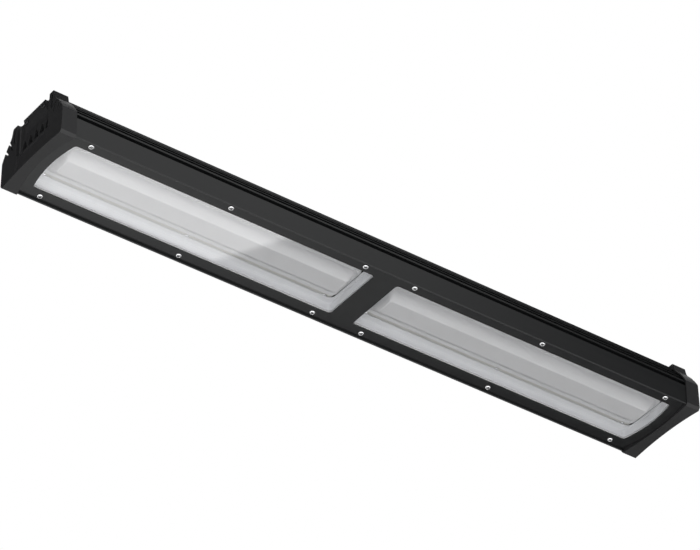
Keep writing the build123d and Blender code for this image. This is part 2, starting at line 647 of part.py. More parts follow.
def driver_parts():
    """Driver on the floor of the tunnel: case, lid, lid screws, board and its components."""
    half = DRIVER_LENGTH / 2
    width = DRIVER_WIDTH / 2
    floor, top = WEB_TOP, WEB_TOP + DRIVER_HEIGHT
    wall = DRIVER_WALL
    post = DRIVER_FOOT / 2
    case = box(-half, half, -width, width, floor, top - wall)
    case -= box(-half + wall, half - wall, -width + wall, width - wall, floor + wall, top)
    lid = box(-half, half, -width, width, top - wall, top)
    end, side = half - DRIVER_SCREW_EDGE, width - DRIVER_SCREW_EDGE
    corners = [(sx * end, sy * side) for sx in (-1, 1) for sy in (-1, 1)]
    for x, y in corners:
        case += box(x - post, x + post, y - post, y + post, floor + wall, top - wall)
    for x, y in corners:
        case -= rod_z(x, y, top - wall - DRIVER_SCREW_L, top, DRIVER_SCREW_D)
        lid -= rod_z(x, y, top - wall - 1, top + 1, DRIVER_SCREW_D + 2 * FIT)
    for s in (-1, 1):
        case -= rod_x(s * half - 3, s * half + 3, 0, LEAD_Z, 2 * LEAD_GAP + LEAD_D + 6 * FIT)
    for y in terminal_ways():
        case -= rod_x(half - 3, half + 3, y, WEB_TOP + TERMINAL_WAY_Z, LEAD_D + 2 * FIT)
    screw = pan_screw(2 * DRIVER_SCREW_D, DRIVER_SCREW_D / 2, DRIVER_SCREW_D - 2 * FIT, DRIVER_SCREW_L)
    screws = Compound([Pos(x, y, top) * Rot(180, 0, 0) * screw for x, y in corners])
    seat = floor + wall + DRIVER_FOOT_H
    rest = half - DRIVER_BOARD_END
    board = box(-rest, rest, -width + 2 * wall, width - 2 * wall, seat, seat + DRIVER_BOARD_T)
    for x in (-rest * 0.8, 0, rest * 0.8):
        for y in (-width / 2, width / 2):
            case += box(x - post, x + post, y - post, y + post, floor + wall, seat)
    low = seat + DRIVER_BOARD_T
    high = top - 2 * wall
    core = box(-CORE_L / 2, CORE_L / 2, -CORE_W / 2, CORE_W / 2, low, high)
    coil_half = CORE_L / 2 - 2 * CORE_YOKE
    reach = CORE_W / 2 + COIL_BULGE
    core -= box(-coil_half, coil_half, -reach, reach, low + CORE_YOKE, high - CORE_YOKE)
    transformer = core + box(-coil_half, coil_half, -reach, reach, low + CORE_YOKE, high - CORE_YOKE)
    ring = Cylinder(CHOKE_D / 2, CHOKE_H) - Cylinder(CHOKE_EYE / 2, CHOKE_H)
    choke = Pos(-half / 2, 0, low + CHOKE_H / 2) * ring
    first = CORE_L / 2 + CAN_PITCH
    can_places = [(first + CAN_PITCH * k, s * CAN_D * 0.56) for k in range(3) for s in (-1, 1)]
    cans = Compound([rod_z(x, y, low, high, CAN_D) for x, y in can_places])
    edge = -width + 3 * wall
    start = -rest + DEVICE_PITCH
    bar = box(start, start + 3 * DEVICE_PITCH, edge, edge + DEVICE_T, low, high)
    devices = [bar]
    for k in range(3):
        x = start + DEVICE_PITCH * (k + 0.5)
        near, far = edge + DEVICE_T, edge + 2 * DEVICE_T
        devices.append(box(x - DEVICE_W / 2, x + DEVICE_W / 2, near, far, low, high - DEVICE_T))
    return case, lid, screws, board, transformer, choke, cans, Compound(devices)


def make_output_leads():
    """Two leads to each light board, from the driver's end down through the web."""
    end = DRIVER_LENGTH / 2 - DRIVER_FOOT
    low = PAD_Z
    leads = []
    for side in (-1, 1):
        for y in (-LEAD_GAP, LEAD_GAP):
            path = Polyline((side * LEAD_X, y, low), (side * LEAD_X, y, LEAD_Z), (side * end, y, LEAD_Z))
            start = Plane(origin=path @ 0, z_dir=path % 0)
            leads.append(sweep(start * Circle(LEAD_D / 2), path=path, transition=Transition.RIGHT))
    return Compound(leads)


def terminal_ways():
    """Widths at which the three mains leads lie."""
    return [TERMINAL_W / 3 * k for k in (-1, 0, 1)]


def terminal_parts():
    """Mains terminal block on the web, its clamping screws and its leads to the driver."""
    half = TERMINAL_L / 2
    top = WEB_TOP + TERMINAL_H
    level = WEB_TOP + TERMINAL_WAY_Z
    block = box(TERMINAL_X - half, TERMINAL_X + half, -TERMINAL_W / 2, TERMINAL_W / 2, WEB_TOP, top)
    screw = Cylinder(1.8, 5) - Pos(0, 0, 2) * Box(5, 0.8, 1.2)
    screws = []
    leads = []
    for y in terminal_ways():
        block -= rod_x(TERMINAL_X - half - 1, TERMINAL_X, y, level, LEAD_D + 2 * FIT)
        block -= box(TERMINAL_X, TERMINAL_X + half + 1, y - 1.8, y + 1.8, level - 1.8, level + 1.8)
        leads.append(rod_x(DRIVER_LENGTH / 2 - 5, TERMINAL_X - 2, y, level, LEAD_D))
        for x in (-half / 2, half / 2):
            block -= box(TERMINAL_X + x - 2, TERMINAL_X + x + 2, y - 2, y + 2, level, top + 1)
            screws.append(Pos(TERMINAL_X + x, y, level + LEAD_D * 0.75 + 2.5) * screw)
    return block, Compound(screws), Compound(leads)


def build():
    """Make every piece and keep it under its node name."""
    PARTS["heat_sink"] = make_heat_sink()
    PARTS["window_frame"] = make_window_frame()
    PARTS["frame_screws"] = make_frame_screws()
    right = {
        "cap_gasket": make_cap_gasket(),
        "cap_screws": make_cap_screws(),
        "cover_glass": make_glass(),
        "glass_seal": make_seal(),
        "reflector_tray": make_tray(),
        "diffuser": make_diffuser(),
        "led_board": make_board(),
        "led_packages": make_leds(),
        "thermal_pad": make_pad(),
    }
    for name, shape in right.items():
        PARTS[name + "_left"] = to_side(shape, -1)
        PARTS[name + "_right"] = shape
    PARTS["end_cap_left"] = to_side(make_end_cap(with_gland=False), -1)
    PARTS["end_cap_right"] = make_end_cap(with_gland=True)
    PARTS["board_screws"] = make_board_screws()
    names = ("gland_body", "gland_lock_nut", "gland_seal", "gland_dome_nut")
    PARTS.update(zip(names, gland_parts()))
    kinds = ("case", "lid", "lid_screws", "board", "transformer", "choke", "capacitors", "power_devices")
    PARTS.update(zip(("driver_" + kind for kind in kinds), driver_parts()))
    PARTS["output_leads"] = make_output_leads()
    PARTS.update(zip(("terminal_block", "terminal_screws", "mains_leads"), terminal_parts()))


build()
os.makedirs("parts", exist_ok=True)
for node, shape in PARTS.items():
    export_step(shape, f"parts/{node}.step")
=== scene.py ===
import logging
import math
from dataclasses import dataclass, field
from enum import Enum

import bpy
import numpy as np
from mathutils import Matrix, Vector


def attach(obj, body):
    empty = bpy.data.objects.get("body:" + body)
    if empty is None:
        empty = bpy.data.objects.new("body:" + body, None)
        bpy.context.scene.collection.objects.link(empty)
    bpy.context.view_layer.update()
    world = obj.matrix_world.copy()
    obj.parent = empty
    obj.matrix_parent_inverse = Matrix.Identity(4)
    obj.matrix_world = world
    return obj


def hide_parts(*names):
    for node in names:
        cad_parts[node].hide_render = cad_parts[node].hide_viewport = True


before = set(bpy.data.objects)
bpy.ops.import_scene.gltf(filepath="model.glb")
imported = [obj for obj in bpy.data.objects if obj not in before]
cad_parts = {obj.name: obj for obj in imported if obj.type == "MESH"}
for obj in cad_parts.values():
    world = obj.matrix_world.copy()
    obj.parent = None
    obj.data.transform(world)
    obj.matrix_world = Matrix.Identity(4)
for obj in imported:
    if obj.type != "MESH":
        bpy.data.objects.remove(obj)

log = logging.getLogger("light_fixture")
logging.basicConfig(level=logging.INFO, format="%(name)s: %(message)s")

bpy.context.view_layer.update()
MM = 0.001
IMAGE_WIDTH_PX = 700
SENSOR_WIDTH_MM = 36.0
# A noise texture's values mostly lie in this span
NOISE_LOW = 0.3
NOISE_HIGH = 0.7
# A wave texture runs this many radians for each unit of its input
WAVE_RADIANS = 20.0
# An even bleed of red, green and blue, so that light passes under a skin without a tint
EVEN_BLEED = (1.0, 1.0, 1.0)


def linear(hex_colour: str) -> tuple[float, float, float, float]:
    """Turns an sRGB hex colour into linear light.

    A share v of full light is v / 12.92 up to 0.04045, and ((v + 0.055) / 1.055) to the power 2.4 above it.

    Args:
        hex_colour: six hex digits with a leading hash.

    Returns:
        The linear red, green and blue, and an alpha of 1.
    """
    values = [int(hex_colour[i:i + 2], 16) / 255 for i in (1, 3, 5)]
    light = [v / 12.92 if v <= 0.04045 else ((v + 0.055) / 1.055) ** 2.4 for v in values]
    return light[0], light[1], light[2], 1.0


def add_node(tree: bpy.types.NodeTree, kind: str, inputs: dict | None = None,
             **settings: object) -> bpy.types.Node:
    """Adds one node, with its settings and what its sockets hold.

    Args:
        tree: the node tree of a material or the world.
        kind: the node's Blender type.
        inputs: socket name or number to a value, or to the socket that feeds it.
        settings: the node's own properties.

    Returns:
        The new node.
    """
    made = tree.nodes.new(kind)
    for name, value in settings.items():
        setattr(made, name, value)
    for socket, value in (inputs or {}).items():
        if isinstance(value, bpy.types.NodeSocket):
            tree.links.new(value, made.inputs[socket])
        else:
            made.inputs[socket].default_value = value
    return made


def empty_material(name: str) -> bpy.types.Material:
    """Makes a material whose tree has no nodes yet.

    Args:
        name: the material's name.

    Returns:
        The new material.
    """
    made = bpy.data.materials.new(name)
    made.use_nodes = True
    made.node_tree.nodes.clear()
    return made


def soft_border(tree: bpy.types.NodeTree, places: list[bpy.types.NodeSocket],
                fades: tuple[float, float]) -> bpy.types.NodeSocket:
    """Works out a level that is 1 over a rectangle and falls smoothly to 0 at its borders.

    The level is the product of two falls, one for the width and one for the height. Each is 0 at the border
    and rises as a smoothstep to 1 at its fade inwards.

    Args:
        tree: the tree to add to.
        places: how far a point is from the middle, as a share of the width and of the height.
        fades: the share of the width and of the height that the fall takes.

    Returns:
        The level's socket.
    """
    falls = []
    for place, fade in zip(places, fades):
        span = add_node(tree, "ShaderNodeMath", {0: place}, operation="ABSOLUTE").outputs[0]
        fall = add_node(tree, "ShaderNodeMapRange", {0: span, 1: 0.5, 2: 0.5 - fade},
                        interpolation_type="SMOOTHSTEP")
        falls.append(fall.outputs[0])
    return add_node(tree, "ShaderNodeMath", {0: falls[0], 1: falls[1]}, operation="MULTIPLY").outputs[0]


class Lay(Enum):
    """How a surface's fine texture lies: the same every way, or drawn out along the body."""

    EVEN = (1.0, 1.0, 1.0)
    DRAWN = (0.012, 1.0, 1.0)


@dataclass(frozen=True)
class Finish:
    """An opaque finish with mottled colour, uneven gloss and a fine relief.

    The colour moves between two shades over patches of mottle_mm, and the roughness moves by roughness_spread
    over the same patches. The relief is grain_mm across and depth_mm deep. edge_mm rounds sharp edges for the
    light, and skin_mm is how far light spreads under the surface where subsurface is above 0.
    """

    name: str
    shade: str
    other_shade: str
    roughness: float
    roughness_spread: float
    mottle_mm: float
    grain_mm: float
    depth_mm: float
    lay: Lay = Lay.EVEN
    metallic: float = 0.0
    specular: float = 0.5
    edge_mm: float = 0.25
    subsurface: float = 0.0
    skin_mm: float = 5.0

    def material(self) -> bpy.types.Material:
        """Builds the finish as a material.

        Returns:
            The new material.
        """
        made = empty_material(self.name)
        tree = made.node_tree
        place = add_node(tree, "ShaderNodeTexCoord").outputs["Object"]
        laid = add_node(tree, "ShaderNodeMapping", {"Vector": place, "Scale": self.lay.value}).outputs[0]
        patches = add_node(tree, "ShaderNodeTexNoise", {"Vector": laid, "Scale": 1 / (self.mottle_mm * MM),
                                                        "Detail": 4.0, "Roughness": 0.6})
        grain = add_node(tree, "ShaderNodeTexNoise",
                         {"Vector": laid, "Scale": 1 / (self.grain_mm * MM), "Detail": 2.0})
        colour = self.colour(tree, place, patches.outputs[0])
        gloss = add_node(tree, "ShaderNodeMapRange",
                         {0: patches.outputs[0], 1: NOISE_LOW, 2: NOISE_HIGH,
                          3: self.roughness - self.roughness_spread,
                          4: self.roughness + self.roughness_spread})
        edge = add_node(tree, "ShaderNodeBevel", {"Radius": self.edge_mm * MM}, samples=4)
        relief = add_node(tree, "ShaderNodeBump", {"Height": grain.outputs[0], "Strength": 1.0,
                                                   "Distance": self.depth_mm * MM, "Normal": edge.outputs[0]})
        shader = add_node(tree, "ShaderNodeBsdfPrincipled",
                          {"Base Color": colour, "Roughness": gloss.outputs[0], "Normal": relief.outputs[0]})
        shader.inputs["Metallic"].default_value = self.metallic
        shader.inputs["Specular IOR Level"].default_value = self.specular
        shader.inputs["Subsurface Weight"].default_value = self.subsurface
        shader.inputs["Subsurface Radius"].default_value = EVEN_BLEED
        shader.inputs["Subsurface Scale"].default_value = self.skin_mm * MM
        add_node(tree, "ShaderNodeOutputMaterial", {"Surface": shader.outputs[0]})
        made.diffuse_color = linear(self.shade)
        return made

    def colour(self, tree: bpy.types.NodeTree, place: bpy.types.NodeSocket,
               patches: bpy.types.NodeSocket) -> bpy.types.NodeSocket:
        """Mixes the two shades over the patches.

        Args:
            tree: the material's tree.
            place: the Object coordinates.
            patches: the slow noise.

        Returns:
            The colour socket.
        """
        mix = add_node(tree, "ShaderNodeMix", {"Factor": patches, 6: linear(self.shade),
                                               7: linear(self.other_shade)}, data_type="RGBA")
        return mix.outputs[2]


@dataclass(frozen=True)
class PrintedBoard(Finish):
    """A circuit board's solder mask with the faint copper tracks beneath it.

    The tracks are the crests of a sine wave across the board, with radian_mm to a radian, so each track and
    each gap is pi times radian_mm wide. A track's edge takes the wave's middle, from edge_low to edge_high.
    """

    radian_mm: float = 3.0
    edge_low: float = 0.45
    edge_high: float = 0.55

    def colour(self, tree: bpy.types.NodeTree, place: bpy.types.NodeSocket,
               patches: bpy.types.NodeSocket) -> bpy.types.NodeSocket:
        """Draws the tracks as a wave across the board. See Finish.colour."""
        scale = 1 / (self.radian_mm * MM * WAVE_RADIANS)
        wave = add_node(tree, "ShaderNodeTexWave", {"Vector": place, "Scale": scale, "Distortion": 0.0},
                        bands_direction="Y")
        edge = add_node(tree, "ShaderNodeMapRange",
                        {0: wave.outputs[1], 1: self.edge_low, 2: self.edge_high}).outputs[0]
        return super().colour(tree, place, edge)


@dataclass(frozen=True)
class RecessShadedMetal(Finish):
    """A bright metal with painted shade in its recesses and seams, where the surface is hemmed in.

    What counts is how open the surface is within hollow_mm, from 0 to 1, as ambient occlusion finds it. Up
    to shut it has the painted recess shade, from clear on it is bright, and between them it changes evenly.
    """

    hollow_mm: float = 1.6
    # The painted shade that recesses and seams take
    painted_recess_shade: str = "#1d1c1b"
    shut: float = 0.6
    clear: float = 0.97

    def colour(self, tree: bpy.types.NodeTree, place: bpy.types.NodeSocket,
               patches: bpy.types.NodeSocket) -> bpy.types.NodeSocket:
        """Paints shade on the mottled colour where the surface is hemmed in. See Finish.colour."""
        bright = super().colour(tree, place, patches)
        # Painted shade: the colour darkens to a dark shade where ambient occlusion finds the surface hemmed
        # in
        open_sky = add_node(tree, "ShaderNodeAmbientOcclusion", {"Distance": self.hollow_mm * MM}, samples=8)
        share = add_node(tree, "ShaderNodeMapRange", {0: open_sky.outputs["AO"], 1: self.shut, 2: self.clear})
        mix = add_node(tree, "ShaderNodeMix", {"Factor": share.outputs[0], 6: linear(self.painted_recess_shade), 7: bright},
                       data_type="RGBA")
        return mix.outputs[2]


@dataclass(frozen=True)
class ClearGlass:
    """Float glass, polished: clear and mirror-smooth, and light falls through it on what is behind.

    Its faces undulate faintly, wave_mm deep with waves_a_metre. passed is the share of light that falls
    through it.
    """

    name: str = "cover_glass_clear"
    tint: str = "#fdfdfe"
    ior: float = 1.65
    waves_a_metre: float = 9.0
    wave_mm: float = 0.02
    passed: float = 0.87

    def material(self) -> bpy.types.Material:
        """Builds the glass.

        Returns:
            The new material.
        """
        made = empty_material(self.name)
        tree = made.node_tree
        place = add_node(tree, "ShaderNodeTexCoord").outputs["Object"]
        wave = add_node(tree, "ShaderNodeTexNoise",
                        {"Vector": place, "Scale": self.waves_a_metre, "Detail": 1.0})
        relief = add_node(tree, "ShaderNodeBump", {"Height": wave.outputs[0], "Distance": self.wave_mm * MM})
        shader = add_node(tree, "ShaderNodeBsdfPrincipled",
                          {"Base Color": linear(self.tint), "Roughness": 0.0, "Normal": relief.outputs[0]})
        shader.inputs["IOR"].default_value = self.ior
        shader.inputs["Transmission Weight"].default_value = 1.0
        open_way = add_node(tree, "ShaderNodeBsdfTransparent", {"Color": (*[self.passed] * 3, 1.0)})
        ray = add_node(tree, "ShaderNodeLightPath").outputs
        either = add_node(tree, "ShaderNodeMath", {0: ray["Is Shadow Ray"], 1: ray["Is Diffuse Ray"]},
                          operation="MAXIMUM")
        both = add_node(tree, "ShaderNodeMixShader", {0: either.outputs[0], 1: shader.outputs[0],
                                                      2: open_way.outputs[0]})
        add_node(tree, "ShaderNodeOutputMaterial", {"Surface": both.outputs[0]})
        return made


def grid_quads(rows: int, columns: int, closed: bool) -> np.ndarray:
    """Numbers the four corners of each quad between neighbouring points of a grid.

    Args:
        rows: how many rows of points.
        columns: how many points a row has.
        closed: True if each row's last point joins its first.

    Returns:
        Quads by 4, in order round each.
    """
    index = np.arange(rows * columns).reshape(rows, columns)
    right = np.roll(index, -1, axis=1)
    last = columns if closed else columns - 1
    quads = np.stack([index[:-1, :last], right[:-1, :last], right[1:, :last], index[1:, :last]], axis=-1)
    return quads.reshape(-1, 4)


def mesh_object(name: str, points: np.ndarray, quads: np.ndarray) -> bpy.types.Object:
    """Puts points and quads in a mesh object, shaded smooth.

    Args:
        name: the piece's name.
        points: n by 3, in metres.
        quads: m by 4 indices.

    Returns:
        The new object.
    """
    mesh = bpy.data.meshes.new(name)
    mesh.from_pydata(points.tolist(), [], quads.tolist())
    mesh.validate()
    mesh.polygons.foreach_set("use_smooth", np.ones(len(mesh.polygons), bool))
    made = bpy.data.objects.new(name, mesh)
    bpy.context.scene.collection.objects.link(made)
    return made


def smoothstep(low: float, high: float, value: np.ndarray) -> np.ndarray:
    """Rises from 0 at low to 1 at high as 3t^2 - 2t^3.

    Args:
        low: where the rise starts.
        high: where it ends.
        value: where it is wanted.

    Returns:
        The height of the rise at each value.
    """
    t = np.clip((value - low) / (high - low), 0, 1)
    return t * t * (3 - 2 * t)


@dataclass(frozen=True)
class PanScrew:
    """A pan-head screw with a cross recess and a threaded shank, all sizes in millimetres.

    dome_drop is how far the head falls from its middle to its rim, as a share of head_h, and dome_power how
    late it falls. arm_wall is where the walls beside an arm of the recess begin and end, as shares of
    recess_w, and arm_end the same for the wall at its tip, as shares of recess_d. thread_cut is the thread's
    depth as a share of the shank's radius, and turns how often it goes round. around and rings are the points
    round the screw and across its head, where ring t of 0 to 1 lies at t to the power ring_power. Screws of a
    group are turned about themselves by first_turn and then by turn_step more each, in degrees.
    """

    head_d: float
    head_h: float
    shank_d: float
    length: float
    recess_d: float
    recess_w: float
    recess_depth: float
    dome_drop: float = 0.62
    dome_power: int = 5
    arm_wall: tuple[float, float] = (0.35, 0.6)
    arm_end: tuple[float, float] = (0.3, 0.5)
    thread_cut: float = 0.09
    turns: int = 24
    ring_power: float = 0.9
    around: int = 72
    rings: int = 30
    first_turn: float = 11.0
    turn_step: float = 37.0

    def grid(self) -> np.ndarray:
        """Works out one screw as rings from the middle of the head's face to the tip of the shank.

        At radius r of R the head's face stands head_h(1 - dome_drop(r/R)^dome_power) high, less a cross whose
        depth fades with both the distance from each arm's middle line and the distance along it. The shank is
        a circle whose radius carries a triangle wave along its length, one period a turn of thread.

        Returns:
            Rows by columns by 3, head towards -Z with its seat at Z = 0, in metres.
        """
        angle = np.linspace(0, 2 * np.pi, self.around, endpoint=False)
        radius = self.head_d / 2 * np.linspace(0.0, 1.0, self.rings) ** self.ring_power
        r, a = np.meshgrid(radius, angle, indexing="ij")
        x, y = r * np.cos(a), r * np.sin(a)
        dome = -self.head_h * (1 - self.dome_drop * (r / (self.head_d / 2)) ** self.dome_power)
        wall = [self.recess_w * share for share in self.arm_wall]
        tip = [self.recess_d * share for share in self.arm_end]
        arms = [(1 - smoothstep(*wall, np.abs(side))) * (1 - smoothstep(*tip, np.abs(along)))
                for side, along in ((x, y), (y, x))]
        depth = self.recess_depth * np.maximum(*arms)
        face = np.stack([x, y, dome + depth], axis=-1)
        level = np.linspace(0, self.length, self.turns * 2 + 1)
        wave = 1 - self.thread_cut * (np.arange(self.turns * 2 + 1) % 2)
        shank_r = np.concatenate([[self.head_d / 2, self.shank_d / 2], self.shank_d / 2 * wave, [0.0]])
        shank_z = np.concatenate([[0.0, 0.0], level, [self.length]])
        rest = np.stack([shank_r[:, None] * np.cos(angle), shank_r[:, None] * np.sin(angle),
                         np.repeat(shank_z[:, None], self.around, axis=1)], axis=-1)
        return np.concatenate([face, rest]) * MM

    def group(self, name: str, places: list[tuple[float, float, float]], turn: Matrix) -> bpy.types.Object:
        """Sets copies of the screw side by side in one piece.

        Args:
            name: the piece's name.
            places: the seats, in millimetres.
            turn: turns the screw from head down to its own direction.

        Returns:
            The new object.
        """
        one = self.grid()
        rows, columns = one.shape[:2]
        quads = grid_quads(rows, columns, closed=True)
        points, faces = [], []
        for number, place in enumerate(places):
            spin = Matrix.Rotation(math.radians(self.turn_step * number + self.first_turn), 3, "Z")
            basis = np.array(turn @ spin)
            points.append(one.reshape(-1, 3) @ basis.T + np.array(place) * MM)
            faces.append(quads + number * rows * columns)
        return mesh_object(name, np.concatenate(points), np.concatenate(faces))


# Black polyester powder coat on extruded aluminium: satin, faint orange peel, die lines along its length
BODY_COAT = Finish("body_powder_coat", "#121314", "#151617", 0.3, 0.03, 14.0, 0.9, 0.012, Lay.DRAWN,
                   specular=0.4)
# The same coat on flat sheet: no die lines, a finer peel
PLATE_COAT = Finish("plate_powder_coat", "#131415", "#161718", 0.32, 0.03, 9.0, 0.8, 0.012, specular=0.43)
# Moulded polycarbonate, black, with a fine spark-eroded texture: duller and a little greyer than the coat
CAP_PLASTIC = Finish("cap_moulded_plastic", "#1f1f20", "#232324", 0.44, 0.04, 7.0, 0.55, 0.02,
                     specular=0.27, edge_mm=0.4)
# Zinc-plated steel screws in the open: a bright head, with painted shade in the cross recess and seams
SCREW_STEEL = RecessShadedMetal("screw_zinc_plate", "#d9d9da", "#c6c7c9", 0.2, 0.06, 1.4, 0.35, 0.004,
                         metallic=1.0, edge_mm=0.05)
# The same steel inside, without the painted recess shade: the board, driver lid and terminal screws
INNER_STEEL = Finish("inner_screw_zinc_plate", "#d9d9da", "#c6c7c9", 0.24, 0.06, 1.4, 0.35, 0.004,
                     metallic=1.0)
# Black oxide on steel: dark, with a dull metal shine
DARK_STEEL = Finish("screw_black_oxide", "#232324", "#2b2b2c", 0.36, 0.05, 1.2, 0.3, 0.004,
                    metallic=0.9, edge_mm=0.05)
# White polyester coat on the pressed reflector tray: semi-gloss, faintly peeled
TRAY_WHITE = Finish("tray_white_enamel", "#e7e8ea", "#e3e4e6", 0.38, 0.04, 18.0, 1.2, 0.01, edge_mm=0.3)
# Opal acrylic, moulded: satin, and light spreads under its skin
OPAL = Finish("diffuser_opal_acrylic", "#f4f5f8", "#f0f1f4", 0.42, 0.03, 22.0, 1.5, 0.006,
              subsurface=0.8, edge_mm=0.2)
# White solder mask over copper tracks, which show as faint bands
BOARD_MASK = PrintedBoard("board_white_mask", "#e4e4e0", "#dededa", 0.4, 0.04, 6.0, 0.8, 0.004)
# Phosphor in silicone over a white package: yellow and glossy
LED_RESIN = Finish("led_phosphor", "#e9cf6a", "#e3c55c", 0.3, 0.05, 1.5, 0.4, 0.01)
# Moulded silicone rubber, white: matt and even
SILICONE = Finish("seal_silicone_rubber", "#f0f0ef", "#e9e9e8", 0.62, 0.05, 4.0, 0.6, 0.01)
# Silicone filled with ceramic powder, calendered: grey, matt, slightly rough
THERMAL_PAD = Finish("pad_filled_silicone", "#7f868d", "#777e85", 0.7, 0.05, 3.0, 0.7, 0.02)
# Moulded polyamide, black: satin with a faint pebble
POLYAMIDE = Finish("gland_polyamide", "#1c1c1d", "#222223", 0.4, 0.05, 4.0, 0.5, 0.015)
# Plain aluminium sheet, rolled along the driver: bright, with fine lines
SHEET_METAL = Finish("driver_rolled_sheet", "#c9cacb", "#bcbdbf", 0.32, 0.06, 12.0, 0.5, 0.008, Lay.DRAWN,
                     metallic=1.0)
# Green solder mask over fine copper tracks
CIRCUIT = PrintedBoard("driver_circuit_mask", "#1d5a34", "#246a3f", 0.35, 0.04, 4.0, 0.6, 0.006,
                       radian_mm=1.2)
# Polyester tape wound over the coils: yellow, satin
WINDING = Finish("winding_tape", "#c9a63a", "#bd9930", 0.4, 0.06, 3.0, 0.5, 0.02)
# Shrunk sleeve round the capacitor cans: dark, glossy
CAN_SLEEVE = Finish("capacitor_sleeve", "#20262e", "#2a313b", 0.28, 0.05, 4.0, 0.5, 0.006)
# Moulded epoxy of the switching devices: dark grey, dull
DEVICE = Finish("device_epoxy", "#242425", "#2d2d2e", 0.5, 0.05, 2.0, 0.3, 0.01)
# Extruded silicone sheath of the leads: pale grey, satin
LEAD_SHEATH = Finish("lead_silicone_sheath", "#b9b9b4", "#adada8", 0.45, 0.05, 2.5, 0.4, 0.01)
# Moulded polyamide of the terminal block: off-white, satin
TERMINAL = Finish("terminal_polyamide", "#e3e2da", "#dbdad1", 0.38, 0.05, 4.0, 0.5, 0.01)
# Matt paint on the studio's floor: nearly white, with a slow mottle
FLOOR_PAINT = Finish("floor_pale_paint", "#f2f2f1", "#efefed", 0.7, 0.05, 400.0, 3.0, 0.02)

NODE_FINISHES: dict[str, Finish | ClearGlass] = {
    "heat_sink": BODY_COAT,
    "window_frame": PLATE_COAT,
    "end_cap": CAP_PLASTIC,
    "cap_gasket": SILICONE,
    "frame_screws": SCREW_STEEL,
    "board_screws": INNER_STEEL,
    "driver_lid_screws": INNER_STEEL,
    "terminal_screws": INNER_STEEL,
    "cap_screws": DARK_STEEL,
    "cover_glass": ClearGlass(),
    "glass_seal": SILICONE,
    "gland_seal": SILICONE,
    "reflector_tray": TRAY_WHITE,
    "diffuser": OPAL,
    "led_board": BOARD_MASK,
    "led_packages": LED_RESIN,
    "thermal_pad": THERMAL_PAD,
    "gland": POLYAMIDE,
    "driver_case": SHEET_METAL,
    "driver_lid": SHEET_METAL,
    "driver_board": CIRCUIT,
    "driver_transformer": WINDING,
    "driver_choke": WINDING,
    "driver_capacitors": CAN_SLEEVE,
    "driver_power_devices": DEVICE,
    "output_leads": LEAD_SHEATH,
    "mains_leads": LEAD_SHEATH,
    "terminal_block": TERMINAL,
}


@dataclass
class Dressing:
    """Gives each CAD node its finish, one material for all the nodes that share it."""

    made: dict[str, bpy.types.Material] = field(default_factory=dict)

    def of(self, finish: Finish | ClearGlass) -> bpy.types.Material:
        """Builds a finish's material the first time it is asked for, and keeps it.

        Args:
            finish: the finish.

        Returns:
            Its material.
        """
        if finish.name not in self.made:
            self.made[finish.name] = finish.material()
        return self.made[finish.name]

    def nodes(self) -> None:
        """Dresses every CAD node by the longest name in NODE_FINISHES that begins its own."""
        for name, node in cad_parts.items():
            key = max((k for k in NODE_FINISHES if name.startswith(k)), key=len)
            node.data.materials.clear()
            node.data.materials.append(self.of(NODE_FINISHES[key]))
            log.info("node %s: %s", name, NODE_FINISHES[key].name)


@dataclass
class ScrewSets:
    """The screws that show, with domed heads and cut recesses in place of the plain solids.

    The frame screws sit in two rows, row_y from the middle line, and in columns pitch apart that start at
    first on each side. Each cap has two screws, cap_y from the middle line. All sizes are in millimetres.
    """

    pan: PanScrew = PanScrew(head_d=5.9, head_h=1.6, shank_d=2.8, length=5.5,
                             recess_d=4.6, recess_w=1.5, recess_depth=1.25)
    pitch: float = 160.0
    first: float = 30.0
    columns_a_side: int = 3
    row_y: float = 45.2
    plate_z: float = 4.8
    cap_screw: PanScrew = PanScrew(head_d=6.0, head_h=1.9, shank_d=3.2, length=13.8,
                                   recess_d=3.6, recess_w=1.3, recess_depth=1.5)
    cap_seat_x: float = 385.84
    cap_y: float = 15.0
    cap_z: float = 58.8

    def build(self, dressing: Dressing) -> None:
        """Makes the frame screws and the cap screws.

        Args:
            dressing: gives the materials.
        """
        columns = [self.first + self.pitch * k for k in range(self.columns_a_side)]
        places = [(side * x, y, self.plate_z)
                  for side in (-1, 1) for x in columns for y in (-self.row_y, self.row_y)]
        heads = self.pan.group("frame_screw_set", places, Matrix.Identity(3))
        self.finish(heads, "frame_screws", "screw_steel", dressing.of(SCREW_STEEL))
        for side, node in ((-1, "cap_screws_left"), (1, "cap_screws_right")):
            turn = Matrix.Rotation(math.radians(-90 * side), 3, "Y")
            seats = [(side * self.cap_seat_x, y, self.cap_z) for y in (-self.cap_y, self.cap_y)]
            made = self.cap_screw.group(node.replace("screws", "screw_set"), seats, turn)
            self.finish(made, node, "cap_screw_steel", dressing.of(DARK_STEEL))

    def finish(self, piece: bpy.types.Object, node: str, slot: str, material: bpy.types.Material) -> None:
        """Dresses a set of screws and lets it stand for its CAD node.

        Args:
            piece: the set.
            node: the CAD node that it replaces.
            slot: not used.
            material: its material.
        """
        piece.data.materials.append(material)
        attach(piece, "root")
        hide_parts(node)
        log.info("piece %s: %d faces", piece.name, len(piece.data.polygons))


